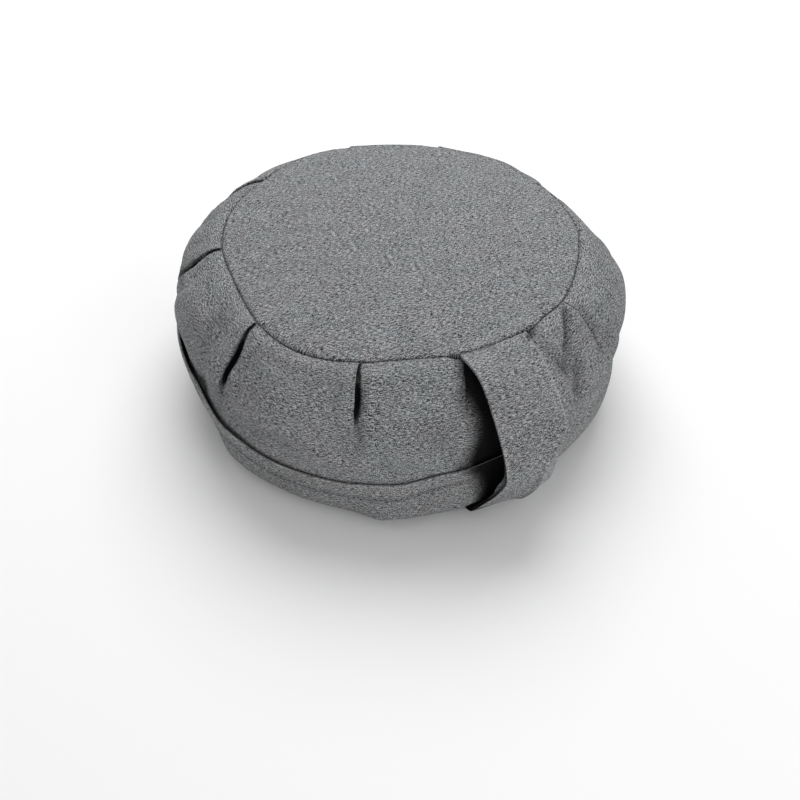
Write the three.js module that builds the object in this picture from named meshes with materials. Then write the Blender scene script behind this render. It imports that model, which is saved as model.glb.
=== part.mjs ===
import * as THREE from "three";

// Round meditation cushion with a pleated side, a lap band over its closure and a carrying strap.
// Millimetres, +Z up, the resting face at height 0, the strap on the -Y side.

// Top panel and top seam
const seamRadius = 127.5;
const seamHeight = 126;
const crownHeight = 139.5;
const crownPower = 2.4;
const seamDip = 1.8;
const rimRows = [
  { inset: 6, drop: 0 },
  { inset: 1.8, drop: 0.5 },
];

// Bottom panel and bottom seam
const panelRadius = 131;
const panelLip = 134;
const panelLipHeight = 0.8;
const heelFadeLength = 14;

// Lap band
const lapThick = 2.4;
const lapClear = 0.55;
const lapHeight = 55;
const lapLiftReach = 20;
const lapStitchRows = [
  { drop: 0.9, dip: 0 },
  { drop: 11.5, dip: 0 },
  { drop: 14, dip: 0.8 },
  { drop: 16.5, dip: 0 },
];
const lapLowShares = [0.79, 0.86, 0.91, 0.955, 0.996];
const lapInnerSkip = [1, 2];

// Carrying strap
const strapHalf = 23.5;
const strapThick = 3;
const strapSeat = 3.4;
const strapSeatHalf = 25.5;
const strapSeatFade = 9;
const strapSeatReach = 9;
const strapSeatEnd = 24;
const strapFootRise = 3.5;
const strapFootLow = 5.5;
const strapFootHigh = 22;
const strapStep = 0.004;

// Pleats and the cloth that swells between them
const foldHalf = 15;
const foldAtSeam = 0.45;
const foldSewnShare = 0.06;
const foldWidestShare = 0.5;
const leanLimit = 1.2;
const puffOut = 2.2;
const puffStart = 12;
const puffFull = 30;
const puffEnd = 95;
const scallopEnd = 34;

// Rings and columns of each stretch of the surface
const crownRings = [0.18, 0.4, 0.62, 0.8, 0.91];
const pleatArcs = [0, 3, 7, 12, 18, 24, 30, 36, 42, 48, 54, 61, 69, 78];
const lowShares = [0.58, 0.65, 0.72, 0.79, 0.86, 0.91, 0.955, 1];
const topColumns = 48;
const lowColumns = 72;
const gapColumns = 5;
const strapRows = 26;
const strapColumns = 7;
const halvings = 30;
const lengthSteps = 2000;

// Half section of the filled side, from the top seam down to the bottom seam
const sideRows = [
  { at: "top seam", out: 127.5, height: 126 },
  { at: "upper shoulder", out: 137.5, height: 121.6 },
  { at: "shoulder", out: 150, height: 110.6 },
  { at: "lower shoulder", out: 160, height: 97.5 },
  { at: "belly", out: 164.8, height: 82 },
  { at: "behind the lap edge", out: 163, height: 56 },
  { at: "lower side", out: 159.3, height: 31 },
  { at: "heel", out: 154, height: 13 },
  { at: "foot", out: 146.5, height: 5 },
  { at: "bottom seam", out: 138, height: 3.3 },
];

// Knife pleats: where each meets the top seam, how far it runs down, how far it opens, how it leans
const pleatRows = [
  { azimuth: -165.5, length: 70, open: 1.1, lean: -0.4, swell: 1.2, scallop: 3.5 },
  { azimuth: -129.8, length: 58, open: 1, lean: 1.4, swell: 1, scallop: 1 },
  { azimuth: -98, length: 50, open: 1, lean: 0, swell: 0.8, scallop: 0 },
  { azimuth: -61, length: 58, open: 0.85, lean: 6, swell: 1, scallop: 1.5 },
  { azimuth: -28, length: 50, open: 0.9, lean: 3, swell: 0.7, scallop: 1 },
  { azimuth: 8, length: 46, open: 0.9, lean: 0, swell: 0.5, scallop: 1 },
  { azimuth: 48.3, length: 46, open: 0.9, lean: 0, swell: 0.4, scallop: 0.5 },
  { azimuth: 79.4, length: 46, open: 0.9, lean: 0, swell: 0.5, scallop: 0.5 },
  { azimuth: 118.4, length: 54, open: 1, lean: -4, swell: 1, scallop: 1 },
  { azimuth: 156, length: 54, open: 1, lean: -5, swell: 1.2, scallop: 2.5 },
];

// Section across one open pleat: place in the flat cloth, place across, distance out of the side
const foldRows = [
  { flat: -15, across: -15, out: 0 },
  { flat: -7, across: -5.6, out: 1.1 },
  { flat: -2.6, across: -0.2, out: 1.8 },
  { flat: -0.8, across: 1.3, out: 0.9 },
  { flat: 0.4, across: 0.4, out: -1.6 },
  { flat: 1.8, across: -2.4, out: -5.4 },
  { flat: 3.2, across: -0.8, out: -6.6 },
  { flat: 5.2, across: 2.2, out: -4.4 },
  { flat: 9, across: 7, out: -1.6 },
  { flat: 15, across: 15, out: 0 },
];

// Unevenness round the cushion: how far shoulder, belly and heel stand out, and how the lap edge runs
const roundRows = [
  { azimuth: -180, shoulder: 0, belly: -4.5, heel: -5, lapRise: 8, lapLift: 3.5 },
  { azimuth: -166, shoulder: 0, belly: -1.5, heel: 4, lapRise: -6, lapLift: 2.5 },
  { azimuth: -150, shoulder: 0, belly: 0, heel: 3, lapRise: -10, lapLift: 1.4 },
  { azimuth: -135, shoulder: 0, belly: 1, heel: 2, lapRise: -10, lapLift: 0.5 },
  { azimuth: -121, shoulder: 0, belly: 0, heel: 8, lapRise: -7, lapLift: 0.4 },
  { azimuth: -106, shoulder: 0, belly: 0, heel: 3.5, lapRise: 3, lapLift: 0.8 },
  { azimuth: -92, shoulder: 0, belly: 0, heel: 2, lapRise: 10, lapLift: 1 },
  { azimuth: -67, shoulder: 0, belly: 0, heel: -1, lapRise: 8, lapLift: 0.4 },
  { azimuth: -48, shoulder: 0, belly: -1, heel: 3, lapRise: 2, lapLift: 0.4 },
  { azimuth: -28, shoulder: 2, belly: -1.5, heel: 1, lapRise: 0, lapLift: 0.8 },
  { azimuth: -4, shoulder: -7, belly: 0, heel: 0, lapRise: -4, lapLift: 0.5 },
  { azimuth: 30, shoulder: -4, belly: 1, heel: 2, lapRise: 3, lapLift: 1 },
  { azimuth: 60, shoulder: -6, belly: 0, heel: -2, lapRise: 5, lapLift: 0.5 },
  { azimuth: 90, shoulder: -4, belly: 1, heel: 2, lapRise: -3, lapLift: 1.2 },
  { azimuth: 120, shoulder: 1, belly: 0, heel: 0, lapRise: 2, lapLift: 0.6 },
  { azimuth: 152, shoulder: 1, belly: -2, heel: -3, lapRise: 12, lapLift: 3 },
];

// Height where each unevenness is full, and how far up and down it reaches
const shoulderBand = { height: 108, reach: 22 };
const bellyBand = { height: 74, reach: 30 };
const heelBand = { height: 10, reach: 24 };

// Outer face of the strap: its left and right edge, and how far the middle bows out between them
const strapPath = [
  { at: "top seam", leftOut: 124.6, leftHeight: 126.4, rightOut: 124.6, rightHeight: 126, bow: 2.2 },
  { at: "leaving", leftOut: 138, leftHeight: 127.6, rightOut: 138, rightHeight: 123.6, bow: 2 },
  { at: "over shoulder", leftOut: 149, leftHeight: 126, rightOut: 150.5, rightHeight: 118.6, bow: 1 },
  { at: "turning down", leftOut: 158.5, leftHeight: 119.5, rightOut: 161.5, rightHeight: 111, bow: 1 },
  { at: "high arch", leftOut: 168.5, leftHeight: 108.5, rightOut: 170.5, rightHeight: 102, bow: 1.5 },
  { at: "upper arch", leftOut: 180, leftHeight: 92.5, rightOut: 177, rightHeight: 91, bow: 2 },
  { at: "arch", leftOut: 187.5, leftHeight: 78.5, rightOut: 179, rightHeight: 79, bow: 2.5 },
  { at: "lower arch", leftOut: 190, leftHeight: 65, rightOut: 179, rightHeight: 65, bow: 2.5 },
  { at: "drawing in", leftOut: 184, leftHeight: 50.5, rightOut: 178, rightHeight: 48, bow: 2.5 },
  { at: "low", leftOut: 172, leftHeight: 30.5, rightOut: 173.5, rightHeight: 28, bow: 2 },
  { at: "turning under", leftOut: 159.5, leftHeight: 10.5, rightOut: 163.5, rightHeight: 10, bow: 2 },
  { at: "under heel", leftOut: 151.5, leftHeight: 2.2, rightOut: 153, rightHeight: 2, bow: 2 },
  { at: "bottom seam", leftOut: 137, leftHeight: 0.5, rightOut: 137, rightHeight: 0.5, bow: 2 },
];

const clothGrey = 0x7b7d80;
const lapGrey = 0x75777a;
const strapGrey = 0x7a7c7f;
const clothRough = 0.95;

function smooth(from, to, value) {
  return THREE.MathUtils.smoothstep(value, from, to);
}

function bell(value, band) {
  const off = (value - band.height) / band.reach;
  return Math.exp(-off * off);
}

// Value of one column of the round table, eased from row to row
function roundAt(column, azimuth) {
  const first = roundRows[0].azimuth;
  const turned = THREE.MathUtils.euclideanModulo(azimuth - first, 360) + first;
  const count = roundRows.length;
  for (let i = 0; i < count; i += 1) {
    const here = roundRows[i];
    const next = roundRows[(i + 1) % count];
    const end = i + 1 < count ? next.azimuth : first + 360;
    if (turned <= end) {
      const share = smooth(here.azimuth, end, turned);
      return here[column] + (next[column] - here[column]) * share;
    }
  }
  return roundRows[0][column];
}

const sideCurve = new THREE.SplineCurve(sideRows.map((row) => new THREE.Vector2(row.out, row.height)));
sideCurve.arcLengthDivisions = lengthSteps;
const sideLength = sideCurve.getLength();

const leftRows = strapPath.map((row) => new THREE.Vector2(row.leftOut, row.leftHeight));
const rightRows = strapPath.map((row) => new THREE.Vector2(row.rightOut, row.rightHeight));
const strapLeft = new THREE.SplineCurve(leftRows);
const strapRight = new THREE.SplineCurve(rightRows);
const strapBow = new THREE.SplineCurve(strapPath.map((row, k) => new THREE.Vector2(k, row.bow)));

// Distance down the section at which the side reaches a height
function arcAtHeight(height) {
  let low = 0;
  let high = sideLength;
  for (let i = 0; i < halvings; i += 1) {
    const middle = (low + high) / 2;
    if (sideCurve.getPointAt(middle / sideLength).y > height) {
      low = middle;
    } else {
      high = middle;
    }
  }
  return (low + high) / 2;
}

// How deep the strap lies in the cloth at its two sewn ends
function seatAcross(x, y) {
  const front = y < 0 ? 1 : 0;
  return front * (1 - smooth(strapSeatHalf, strapSeatHalf + strapSeatFade, Math.abs(x)));
}

// Point of the filled side: distance down the section, azimuth in degrees, distance out of the cloth
function sidePoint(arc, azimuth, out) {
  const share = Math.min(arc / sideLength, 1);
  const at = sideCurve.getPointAt(share);
  const run = sideCurve.getTangentAt(share);
  const angle = THREE.MathUtils.degToRad(azimuth);
  const heelFade = 1 - smooth(sideLength - heelFadeLength, sideLength, arc);
  const uneven =
    roundAt("shoulder", azimuth) * bell(at.y, shoulderBand) +
    roundAt("belly", azimuth) * bell(at.y, bellyBand) +
    roundAt("heel", azimuth) * bell(at.y, heelBand) * heelFade;
  const across = seatAcross(at.x * Math.cos(angle), at.x * Math.sin(angle));
  const seat = strapSeat * across * (1 - smooth(strapSeatReach, strapSeatEnd, arc));
  const rise = strapFootRise * across * (1 - smooth(strapFootLow, strapFootHigh, at.y));
  const away = out - seat;
  const radius = at.x - run.y * (away + uneven);
  const height = at.y + run.x * away + rise;
  return [radius * Math.cos(angle), radius * Math.sin(angle), height];
}

// Azimuth of a pleat line at a distance down the section
function pleatLine(pleat, arc) {
  return pleat.azimuth + pleat.lean * Math.min(arc / pleat.length, leanLimit);
}

// How far a pleat is folded at a distance down the section: closed at the seam, widest midway
function pleatFold(pleat, arc) {
  const share = arc / pleat.length;
  const opening = foldAtSeam + (1 - foldAtSeam) * smooth(foldSewnShare, foldWidestShare, share);
  return pleat.open * opening * smooth(0, foldSewnShare, share) * (1 - smooth(foldWidestShare, 1, share));
}

// One ring of the pleated stretch
function pleatRing(arc) {
  const ring = [];
  const flatRadius = sideCurve.getPointAt(arc / sideLength).x;
  const degrees = 180 / (Math.PI * flatRadius);
  pleatRows.forEach((pleat, index) => {
    const line = pleatLine(pleat, arc);
    const fold = pleatFold(pleat, arc);
    const part = Math.min(fold, 1);
    foldRows.forEach((row) => {
      const along = row.flat + (row.across - row.flat) * part;
      ring.push(sidePoint(arc, line + along * degrees, row.out * fold));
    });
    const next = pleatRows[(index + 1) % pleatRows.length];
    const start = line + foldHalf * degrees;
    const end = pleatLine(next, arc) - foldHalf * degrees;
    const width = THREE.MathUtils.euclideanModulo(end - start, 360);
    const swell = puffOut * pleat.swell * smooth(0, puffStart, arc) * (1 - smooth(puffFull, puffEnd, arc));
    for (let k = 1; k <= gapColumns; k += 1) {
      const share = k / (gapColumns + 1);
      const rise = Math.sin(Math.PI * share);
      const point = sidePoint(arc, start + width * share, swell * rise);
      const scallop = pleat.scallop * rise * (1 - smooth(0, scallopEnd, arc));
      const stretch = 1 + scallop / Math.hypot(point[0], point[1]);
      ring.push([point[0] * stretch, point[1] * stretch, point[2]]);
    }
  });
  return ring;
}

function evenRing(count, pointAt) {
  const ring = [];
  for (let k = 0; k < count; k += 1) {
    ring.push(pointAt((k * 360) / count - 180));
  }
  return ring;
}

function roundRing(count, radius, height) {
  return evenRing(count, (azimuth) => {
    const angle = THREE.MathUtils.degToRad(azimuth);
    return [radius * Math.cos(angle), radius * Math.sin(angle), height];
  });
}

// A surface gathered ring by ring, each ring running anticlockwise seen from above
class Skin {
  constructor() {
    this.points = [];
    this.faces = [];
  }

  add(ring) {
    const start = this.points.length;
    ring.forEach((point) => this.points.push(point));
    return ring.map((_, k) => start + k);
  }

  // Band between two rings with the same number of points, the first ring above or inside
  band(upper, lower) {
    const count = upper.length;
    for (let k = 0; k < count; k += 1) {
      const n = (k + 1) % count;
      this.faces.push([upper[k], lower[k], lower[n]]);
      this.faces.push([upper[k], lower[n], upper[n]]);
    }
  }

  // Band between two rings with different numbers of points
  join(upper, lower) {
    const angleOf = (index) => Math.atan2(this.points[index][1], this.points[index][0]);
    const turn = (ring) => {
      let first = 0;
      ring.forEach((index, k) => {
        first = angleOf(index) < angleOf(ring[first]) ? k : first;
      });
      return ring.slice(first).concat(ring.slice(0, first));
    };
    const a = turn(upper);
    const b = turn(lower);
    const at = (ring, k) => angleOf(ring[k % ring.length]) + 2 * Math.PI * Math.floor(k / ring.length);
    let i = 0;
    let j = 0;
    while (i < a.length || j < b.length) {
      const upperNext = i < a.length ? at(a, i + 1) : Infinity;
      const lowerNext = j < b.length ? at(b, j + 1) : Infinity;
      if (upperNext < lowerNext) {
        this.faces.push([a[i % a.length], b[j % b.length], a[(i + 1) % a.length]]);
        i += 1;
      } else {
        this.faces.push([a[i % a.length], b[j % b.length], b[(j + 1) % b.length]]);
        j += 1;
      }
    }
  }

  // Cap that closes a ring on a middle point
  cap(ring, point, facesUp) {
    const middle = this.points.length;
    this.points.push(point);
    ring.forEach((index, k) => {
      const next = ring[(k + 1) % ring.length];
      this.faces.push(facesUp ? [middle, index, next] : [middle, next, index]);
    });
  }

  mesh(name, material) {
    const geometry = new THREE.BufferGeometry();
    geometry.setAttribute("position", new THREE.Float32BufferAttribute(this.points.flat(), 3));
    geometry.setIndex(this.faces.flat());
    geometry.computeVertexNormals();
    const piece = new THREE.Mesh(geometry, material);
    piece.name = name;
    return piece;
  }
}

function cloth(colour) {
  return new THREE.MeshStandardMaterial({ color: colour, roughness: clothRough, metalness: 0 });
}

function crownAt(share) {
  return seamHeight + (crownHeight - seamHeight) * (1 - share ** crownPower);
}

// Ring of the top panel that follows the seam a little way inside it
function rimRing(seamLine, inset, drop) {
  const height = crownAt(1 - inset / seamRadius) - drop;
  return seamLine.map((point) => {
    const shrink = 1 - inset / Math.hypot(point[0], point[1]);
    return [point[0] * shrink, point[1] * shrink, height];
  });
}

// Filled cushion: crowned top panel, pleated side, flat bottom panel
function cushionBody() {
  const skin = new Skin();
  const crown = crownRings.map((share) => roundRing(topColumns, seamRadius * share, crownAt(share)));
  const crownIds = crown.map((ring) => skin.add(ring));
  skin.cap(crownIds[0], [0, 0, crownHeight], true);
  for (let i = 1; i < crownIds.length; i += 1) {
    skin.band(crownIds[i - 1], crownIds[i]);
  }
  const pleated = pleatArcs.map((arc) => pleatRing(arc));
  pleated[0] = pleated[0].map((point) => [point[0], point[1], point[2] - seamDip]);
  const rim = rimRows.map((row) => skin.add(rimRing(pleated[0], row.inset, row.drop)));
  const side = pleated.map((ring) => skin.add(ring));
  skin.join(crownIds[crownIds.length - 1], rim[0]);
  skin.band(rim[0], rim[1]);
  skin.band(rim[1], side[0]);
  for (let i = 1; i < side.length; i += 1) {
    skin.band(side[i - 1], side[i]);
  }
  const lowRing = (share) => evenRing(lowColumns, (azimuth) => sidePoint(share * sideLength, azimuth, 0));
  const low = lowShares.map((share) => skin.add(lowRing(share)));
  skin.join(side[side.length - 1], low[0]);
  for (let i = 1; i < low.length; i += 1) {
    skin.band(low[i - 1], low[i]);
  }
  const lip = skin.add(roundRing(lowColumns, panelLip, panelLipHeight));
  const panel = skin.add(roundRing(lowColumns, panelRadius, 0));
  skin.band(low[low.length - 1], lip);
  skin.band(lip, panel);
  skin.cap(panel, [0, 0, 0], false);
  return skin.mesh("cushion_body", cloth(clothGrey));
}

// One section of the lap band, as a closed loop: crest of the free edge, outer face down, inner face up
function lapLoop(azimuth) {
  const top = arcAtHeight(lapHeight + roundAt("lapRise", azimuth));
  const lift = roundAt("lapLift", azimuth);
  const at = (drop, out) => {
    const away = lift * (1 - smooth(0, lapLiftReach, drop));
    return sidePoint(top + drop, azimuth, lapClear + away + out);
  };
  const lowRows = lapLowShares.map((share) => ({ drop: share * sideLength - top, dip: 0 }));
  const middle = (lapStitchRows[lapStitchRows.length - 1].drop + lowRows[0].drop) / 2;
  const rows = lapStitchRows.concat([{ drop: middle, dip: 0 }], lowRows);
  const outer = rows.map((row) => at(row.drop, lapThick - row.dip));
  const inner = rows.filter((_, k) => !lapInnerSkip.includes(k)).map((row) => at(row.drop, 0));
  return [at(0, lapThick / 2)].concat(outer, inner.reverse());
}

// Lap band: a ring of cloth standing just off the lower side, free at its upper edge
function zipLapBand() {
  const skin = new Skin();
  const loops = evenRing(lowColumns, lapLoop).map((loop) => skin.add(loop));
  loops.forEach((loop, k) => skin.band(loops[(k + 1) % loops.length], loop));
  return skin.mesh("zip_lap_band", cloth(lapGrey));
}

// Point on the outer face of the strap: share of the way along it, share of the way across it
function strapPoint(along, across) {
  const left = strapLeft.getPointAt(along);
  const right = strapRight.getPointAt(along);
  const bow = strapBow.getPoint(along).y;
  const out = left.x + (right.x - left.x) * across + bow * 4 * across * (1 - across);
  const height = left.y + (right.y - left.y) * across;
  return new THREE.Vector3((2 * across - 1) * strapHalf, -out, height);
}

// Direction from the outer face of the strap towards the cushion
function strapInward(along, across) {
  const low = (share) => Math.max(share - strapStep, 0);
  const high = (share) => Math.min(share + strapStep, 1);
  const down = strapPoint(high(along), across).sub(strapPoint(low(along), across));
  const side = strapPoint(along, high(across)).sub(strapPoint(along, low(across)));
  return side.cross(down).normalize();
}

// Carrying strap: a doubled sheet arching off the side between the two seams
function carryHandle() {
  const skin = new Skin();
  const loops = [];
  for (let i = 0; i < strapRows; i += 1) {
    const along = i / (strapRows - 1);
    const outer = [];
    const inner = [];
    for (let k = 0; k < strapColumns; k += 1) {
      const across = k / (strapColumns - 1);
      const point = strapPoint(along, across);
      outer.push(point.toArray());
      inner.push(strapInward(along, across).multiplyScalar(strapThick).add(point).toArray());
    }
    loops.push(skin.add(outer.concat(inner.reverse())));
  }
  for (let i = 1; i < loops.length; i += 1) {
    skin.band(loops[i - 1], loops[i]);
  }
  const ends = [loops[0], loops[loops.length - 1].slice().reverse()];
  ends.forEach((loop) => {
    for (let k = 1; k < strapColumns; k += 1) {
      const far = loop.length - 1;
      skin.faces.push([loop[k - 1], loop[k], loop[far - k]]);
      skin.faces.push([loop[k - 1], loop[far - k], loop[far - k + 1]]);
    }
  });
  return skin.mesh("carry_handle", cloth(strapGrey));
}

const group = new THREE.Group();
group.add(cushionBody());
group.add(zipLapBand());
group.add(carryHandle());

export default group;
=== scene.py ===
import math

import bpy
import numpy as np
from mathutils import Matrix, Vector, noise


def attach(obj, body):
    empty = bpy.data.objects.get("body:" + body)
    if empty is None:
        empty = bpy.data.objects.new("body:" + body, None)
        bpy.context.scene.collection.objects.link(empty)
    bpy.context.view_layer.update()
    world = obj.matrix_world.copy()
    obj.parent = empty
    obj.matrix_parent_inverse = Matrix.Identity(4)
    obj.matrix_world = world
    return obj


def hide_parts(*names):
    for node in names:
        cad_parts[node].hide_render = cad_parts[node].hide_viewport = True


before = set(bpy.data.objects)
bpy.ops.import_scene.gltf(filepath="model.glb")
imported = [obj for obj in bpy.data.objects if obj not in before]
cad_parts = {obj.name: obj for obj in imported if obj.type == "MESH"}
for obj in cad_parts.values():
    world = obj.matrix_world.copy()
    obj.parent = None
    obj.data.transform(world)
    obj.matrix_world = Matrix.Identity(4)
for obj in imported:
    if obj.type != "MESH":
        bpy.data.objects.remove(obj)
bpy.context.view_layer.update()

scene = bpy.context.scene

# Camera: stands to the left of the carrying strap and looks down on the cushion at about 44 degrees.
# A short telephoto lens, square frame, nothing shifted.
MM = 0.001
SENSOR_WIDTH = 36.0
PICTURE_PX = 800
FOCAL_PX = 1242.8
CAMERA_DISTANCE = 1000.0
CAMERA_TURN = math.radians(-29.0)
CAMERA_HEIGHT = math.radians(44.35)
CAMERA_ROLL = math.radians(0.68)
CAMERA_AIM = Vector((1.3, 0.0, -33.1))

lens = bpy.data.cameras.new("camera")
lens.sensor_width = SENSOR_WIDTH
lens.lens = SENSOR_WIDTH * FOCAL_PX / PICTURE_PX
lens.clip_start = 0.05
camera = bpy.data.objects.new("camera", lens)
scene.collection.objects.link(camera)
look = Vector((0.0, math.cos(CAMERA_HEIGHT), -math.sin(CAMERA_HEIGHT)))
camera.matrix_world = (
    Matrix.Rotation(CAMERA_TURN, 4, "Z")
    @ Matrix.Translation((CAMERA_AIM - look * CAMERA_DISTANCE) * MM)
    @ Matrix.Rotation(math.pi / 2 - CAMERA_HEIGHT, 4, "X")
    @ Matrix.Rotation(CAMERA_ROLL, 4, "Z")
)
scene.camera = camera


# Cushion: round top panel, pleated side band and round bottom panel of one heathered grey cloth, sewn
# together inside out and stuffed, so the panels crown, the pleats gape and the seams draw in.
# Lengths are in millimetres, azimuths in degrees; a drop is a length down the side from the top seam.
SEAM_RADIUS = 127.5
SEAM_HEIGHT = 126.0
CROWN_HEIGHT = 139.5
CROWN_POWER = 2.4
# half section of the stuffed side, top seam to bottom seam: out, height
SIDE_ROWS = [
    (127.5, 126), (137.5, 121.6), (150, 110.6), (160, 97.5), (164.8, 82),
    (163, 56), (159.3, 31), (154, 13), (146.5, 5), (138, 3.3),
]
# unevenness round the cushion: azimuth, shoulder, belly, heel, lap edge rise, lap edge lift
ROUND = np.array([
    (-180, 0, -4.5, -5, 8, 3.5), (-166, 0, -1.5, 4, -6, 2.5), (-150, 0, 0, 3, -10, 1.4),
    (-135, 0, 1, 2, -10, 0.5), (-121, 0, 0, 8, -7, 0.4), (-106, 0, 0, 3.5, 3, 0.8),
    (-92, 0, 0, 2, 10, 1), (-67, 0, 0, -1, 8, 0.4), (-48, 0, -1.8, 3, 2, 0.4),
    (-28, 2, -3.2, 1, 0, 0.8), (-4, -7, 0, 0, -4, 0.5), (30, -4, 1, 2, 3, 1),
    (60, -6, 0, -2, 5, 0.5), (90, -4, 1, 2, -3, 1.2), (120, 1, 0, 0, 2, 0.6),
    (152, 1, -2, -3, 9, 1.5), (180, 0, -4.5, -5, 8, 3.5),
])
SHOULDER, BELLY, HEEL, LAP_RISE, LAP_LIFT = range(1, 6)


def ease(low, high, value):
    """Goes softly from 0 at low to 1 at high."""
    share = np.clip((value - low) / (high - low), 0.0, 1.0)
    return share * share * (3.0 - 2.0 * share)


def fade(low, high, value):
    """Goes softly from 1 at low to 0 at high."""
    return 1 - ease(low, high, value)


def bell(value, middle, reach):
    """1 in the middle, dying away within about twice the reach."""
    return np.exp(-(((value - middle) / reach) ** 2))


def turn_from(azimuth, start):
    return (azimuth - start + 180.0) % 360.0 - 180.0


def ripple(places, size, seed):
    """Soft uneven rise and fall between -1 and 1 over points, with hollows about size apart."""
    return np.array([noise.noise(Vector(p) / size + Vector((seed, seed, seed))) for p in places])


class Line:
    """A smooth line through table rows, walked by its length."""

    def __init__(self, rows, steps=2400):
        rows = np.array(rows, float)
        last = len(rows) - 1
        walk = np.linspace(0.0, last, steps)
        index = np.minimum(walk.astype(int), last - 1)
        share = (walk - index)[:, None]
        before, here = rows[np.maximum(index - 1, 0)], rows[index]
        after, beyond = rows[index + 1], rows[np.minimum(index + 2, last)]
        leave, arrive = (after - before) / 2, (beyond - here) / 2
        self.points = (
            (2 * here - 2 * after + leave + arrive) * share**3
            + (3 * after - 3 * here - 2 * leave - arrive) * share**2
            + leave * share
            + here
        )
        steps_long = np.linalg.norm(np.diff(self.points, axis=0), axis=1)
        self.lengths = np.concatenate([[0.0], np.cumsum(steps_long)])
        self.length = self.lengths[-1]
        self.runs = np.gradient(self.points, self.lengths, axis=0)
        self.walk = walk / last

    def at(self, length):
        return [np.interp(length, self.lengths, column) for column in self.points.T]

    def run(self, length):
        return [np.interp(length, self.lengths, column) for column in self.runs.T]

    def at_share(self, share):
        return [np.interp(share, self.walk, column) for column in self.points.T]


side_line = Line(SIDE_ROWS)


def round_at(column, azimuth):
    """One kind of unevenness at an azimuth, eased between the rows of the table."""
    turned = (np.asarray(azimuth, float) + 180.0) % 360.0 - 180.0
    index = np.clip(np.searchsorted(ROUND[:, 0], turned, "right") - 1, 0, len(ROUND) - 2)
    share = ease(ROUND[index, 0], ROUND[index + 1, 0], turned)
    return ROUND[index, column] + (ROUND[index + 1, column] - ROUND[index, column]) * share


# middle and reach of the heights that the shoulder, belly and heel take up
SHOULDER_BAND, BELLY_BAND, HEEL_BAND = (108.0, 22.0), (74.0, 30.0), (10.0, 24.0)
SHOULDER_STARTS = (0.0, 6.0)
HEEL_FADE = 14.0
# a tip of cloth stands out at the foot: how far, azimuth, half turn, middle and reach in height
TIP_OUT, TIP_AZIMUTH, TIP_TURN, TIP_BAND = 3.0, -123.5, 2.6, (5.0, 9.0)
# the side sits back where the strap is caught in the seam and rises over the strap's foot
STRAP_SEAT = 3.4
STRAP_SEAT_SIDE = (25.5, 34.5)
STRAP_SEAT_DROP = (9.0, 24.0)
STRAP_FOOT_RISE = 3.5
STRAP_FOOT_HEIGHT = (5.5, 22.0)


def side_point(arc, azimuth, out):
    """Points of the stuffed side: drop below the seam, azimuth, distance out of the cloth."""
    arc, azimuth, out = np.broadcast_arrays(arc, azimuth, out)
    radius, height = side_line.at(arc)
    run_out, run_up = side_line.run(arc)
    angle = np.radians(azimuth)
    heel_end = fade(side_line.length - HEEL_FADE, side_line.length, arc)
    uneven = (
        round_at(BELLY, azimuth) * bell(height, *BELLY_BAND)
        + round_at(HEEL, azimuth) * bell(height, *HEEL_BAND) * heel_end
        + TIP_OUT * bell(turn_from(azimuth, TIP_AZIMUTH), 0.0, TIP_TURN) * bell(height, *TIP_BAND)
    )
    across = np.abs(radius * np.cos(angle))
    front = np.where(np.sin(angle) < 0, fade(*STRAP_SEAT_SIDE, across), 0.0)
    away = out - STRAP_SEAT * front * fade(*STRAP_SEAT_DROP, arc)
    away = away + round_at(SHOULDER, azimuth) * bell(height, *SHOULDER_BAND) * ease(*SHOULDER_STARTS, arc)
    rise = STRAP_FOOT_RISE * front * fade(*STRAP_FOOT_HEIGHT, height)
    reach = radius - run_up * (away + uneven)
    return np.stack([reach * np.cos(angle), reach * np.sin(angle), height + run_out * away + rise], -1)


# soft creases in the side: azimuth and drop where each starts and ends, half width, depth
CREASES = [
    (-61.4, 5, -69, 25, 2.4, -4.6), (-77.6, 5.5, -75, 1.5, 2.2, -3.8),
    (-69.4, 25, -72.4, 38, 3.4, -2.6), (-66.5, 9, -74, 24, 5, 1.4),
    (-59.8, 12, -66, 30, 4, 1.6), (-67.5, 34, -71.5, 62, 4.5, -3.2),
    (-64, 30, -65, 58, 5, 1.3), (-76, 16, -72.5, 40, 3.6, -2.6),
    (-56.4, 12, -53.5, 46, 4, -1.8), (-48, 30, -52, 64, 8, -0.6),
    (-178, 10, -176, 48, 7, -1.1), (-171, 14, -172, 60, 6, 1),
    (-167, 60, -169.5, 80, 6, -1.8), (-128.6, 44, -128, 64, 4, -1.2),
    (-150, 70, -158, 84, 8, -1), (-104.5, 12, -102, 46, 6, 0.8),
    (-112, 40, -106, 72, 9, -0.8), (-36, 20, -42, 56, 7, -0.5),
    (20, 14, 24, 58, 8, -1), (62, 12, 60, 60, 8, -1),
    (98, 16, 95, 60, 8, -1.1), (136, 14, 133, 58, 8, -1),
]
CREASE_TAPER = 0.12
# radius at which a turn round the side is taken for a length
TURN_RADIUS = 150.0


def off_line(x, y, end_x, end_y):
    """Share of the way along a straight line that starts at 0, 0, and distance off it."""
    share = np.clip((x * end_x + y * end_y) / (end_x**2 + end_y**2), 0.0, 1.0)
    return share, np.hypot(x - share * end_x, y - share * end_y)


def creased(arc, azimuth):
    """How far the creases push the cloth out at each point."""
    total = np.zeros_like(azimuth)
    for start_azimuth, start_arc, end_azimuth, end_arc, half, depth in CREASES:
        along, drop = np.radians(turn_from(azimuth, start_azimuth)) * TURN_RADIUS, arc - start_arc
        to_along = math.radians(end_azimuth - start_azimuth) * TURN_RADIUS
        share, off = off_line(along, drop, to_along, end_arc - start_arc)
        taper = np.sqrt(np.sin(np.pi * (CREASE_TAPER + (1 - 2 * CREASE_TAPER) * share)))
        total += depth * bell(off, 0.0, half) * taper
    return total


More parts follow.
